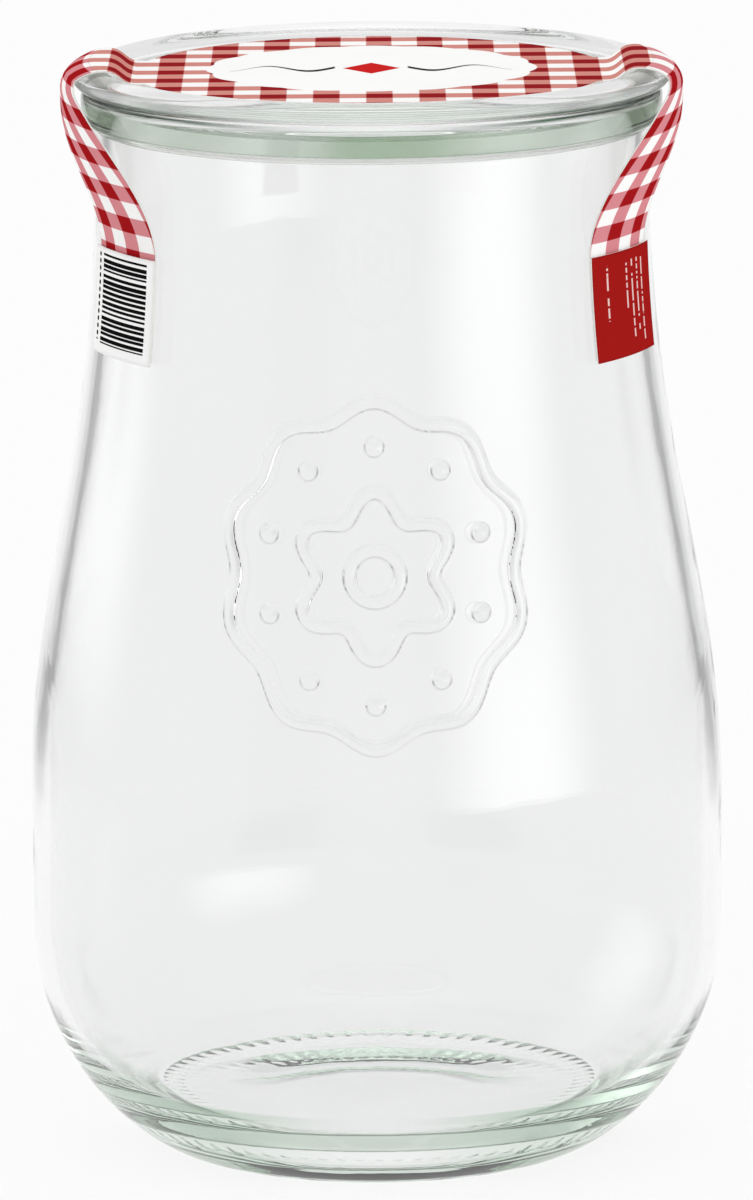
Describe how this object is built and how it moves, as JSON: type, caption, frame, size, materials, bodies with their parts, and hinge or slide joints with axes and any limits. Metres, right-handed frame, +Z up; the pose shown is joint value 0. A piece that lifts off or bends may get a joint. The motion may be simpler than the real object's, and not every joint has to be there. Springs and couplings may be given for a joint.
{
  "type": "glass canning jar",
  "caption": "Tulip-shaped preserving jar of clear glass with a loose glass lid and a paper band over the lid that is stuck to the neck.",
  "frame": {"origin": "centre of the ring that the jar stands on, at the height of the ground", "axes": "+Z up along the jar's axis, -Y to the front with the moulded medallion, +X to the right seen from the front"},
  "size_m": [0.127, 0.127, 0.1986],
  "materials": {
    "body_glass": "clear pressed glass, faintly green where it is thick",
    "lid_glass": "clear pressed glass, faintly green where it is thick",
    "gingham_paper": "smooth printed paper, red and white gingham",
    "white_label_paper": "smooth white paper with a black bar code",
    "red_label_paper": "smooth paper printed plain red"
  },
  "bodies": {
    "jar": {"jar_body": "body_glass"},
    "lid": {"lid": "lid_glass", "band_top": "gingham_paper"},
    "left_arm": {"band_left_arm": "gingham_paper", "left_end_label": "white_label_paper"},
    "right_arm": {"band_right_arm": "gingham_paper", "right_end_label": "red_label_paper"}
  },
  "joints": [
    {"name": "lid_lift", "type": "slide", "parent": "jar", "child": "lid", "axis": [0, 0, 1], "range_m": [0, 0.12]},
    {"name": "left_arm_peel", "type": "hinge", "parent": "lid", "child": "left_arm", "pos_m": [-0.054, 0, 0.19858], "axis": [0, 1, 0], "range_deg": [0, 70]},
    {"name": "right_arm_peel", "type": "hinge", "parent": "lid", "child": "right_arm", "pos_m": [0.054, 0, 0.19858], "axis": [0, -1, 0], "range_deg": [0, 70]}
  ],
  "couplings": [
    {"joint": "left_arm_peel", "follows": "lid_lift", "rad_per_m": 10},
    {"joint": "right_arm_peel", "follows": "lid_lift", "rad_per_m": 10}
  ]
}
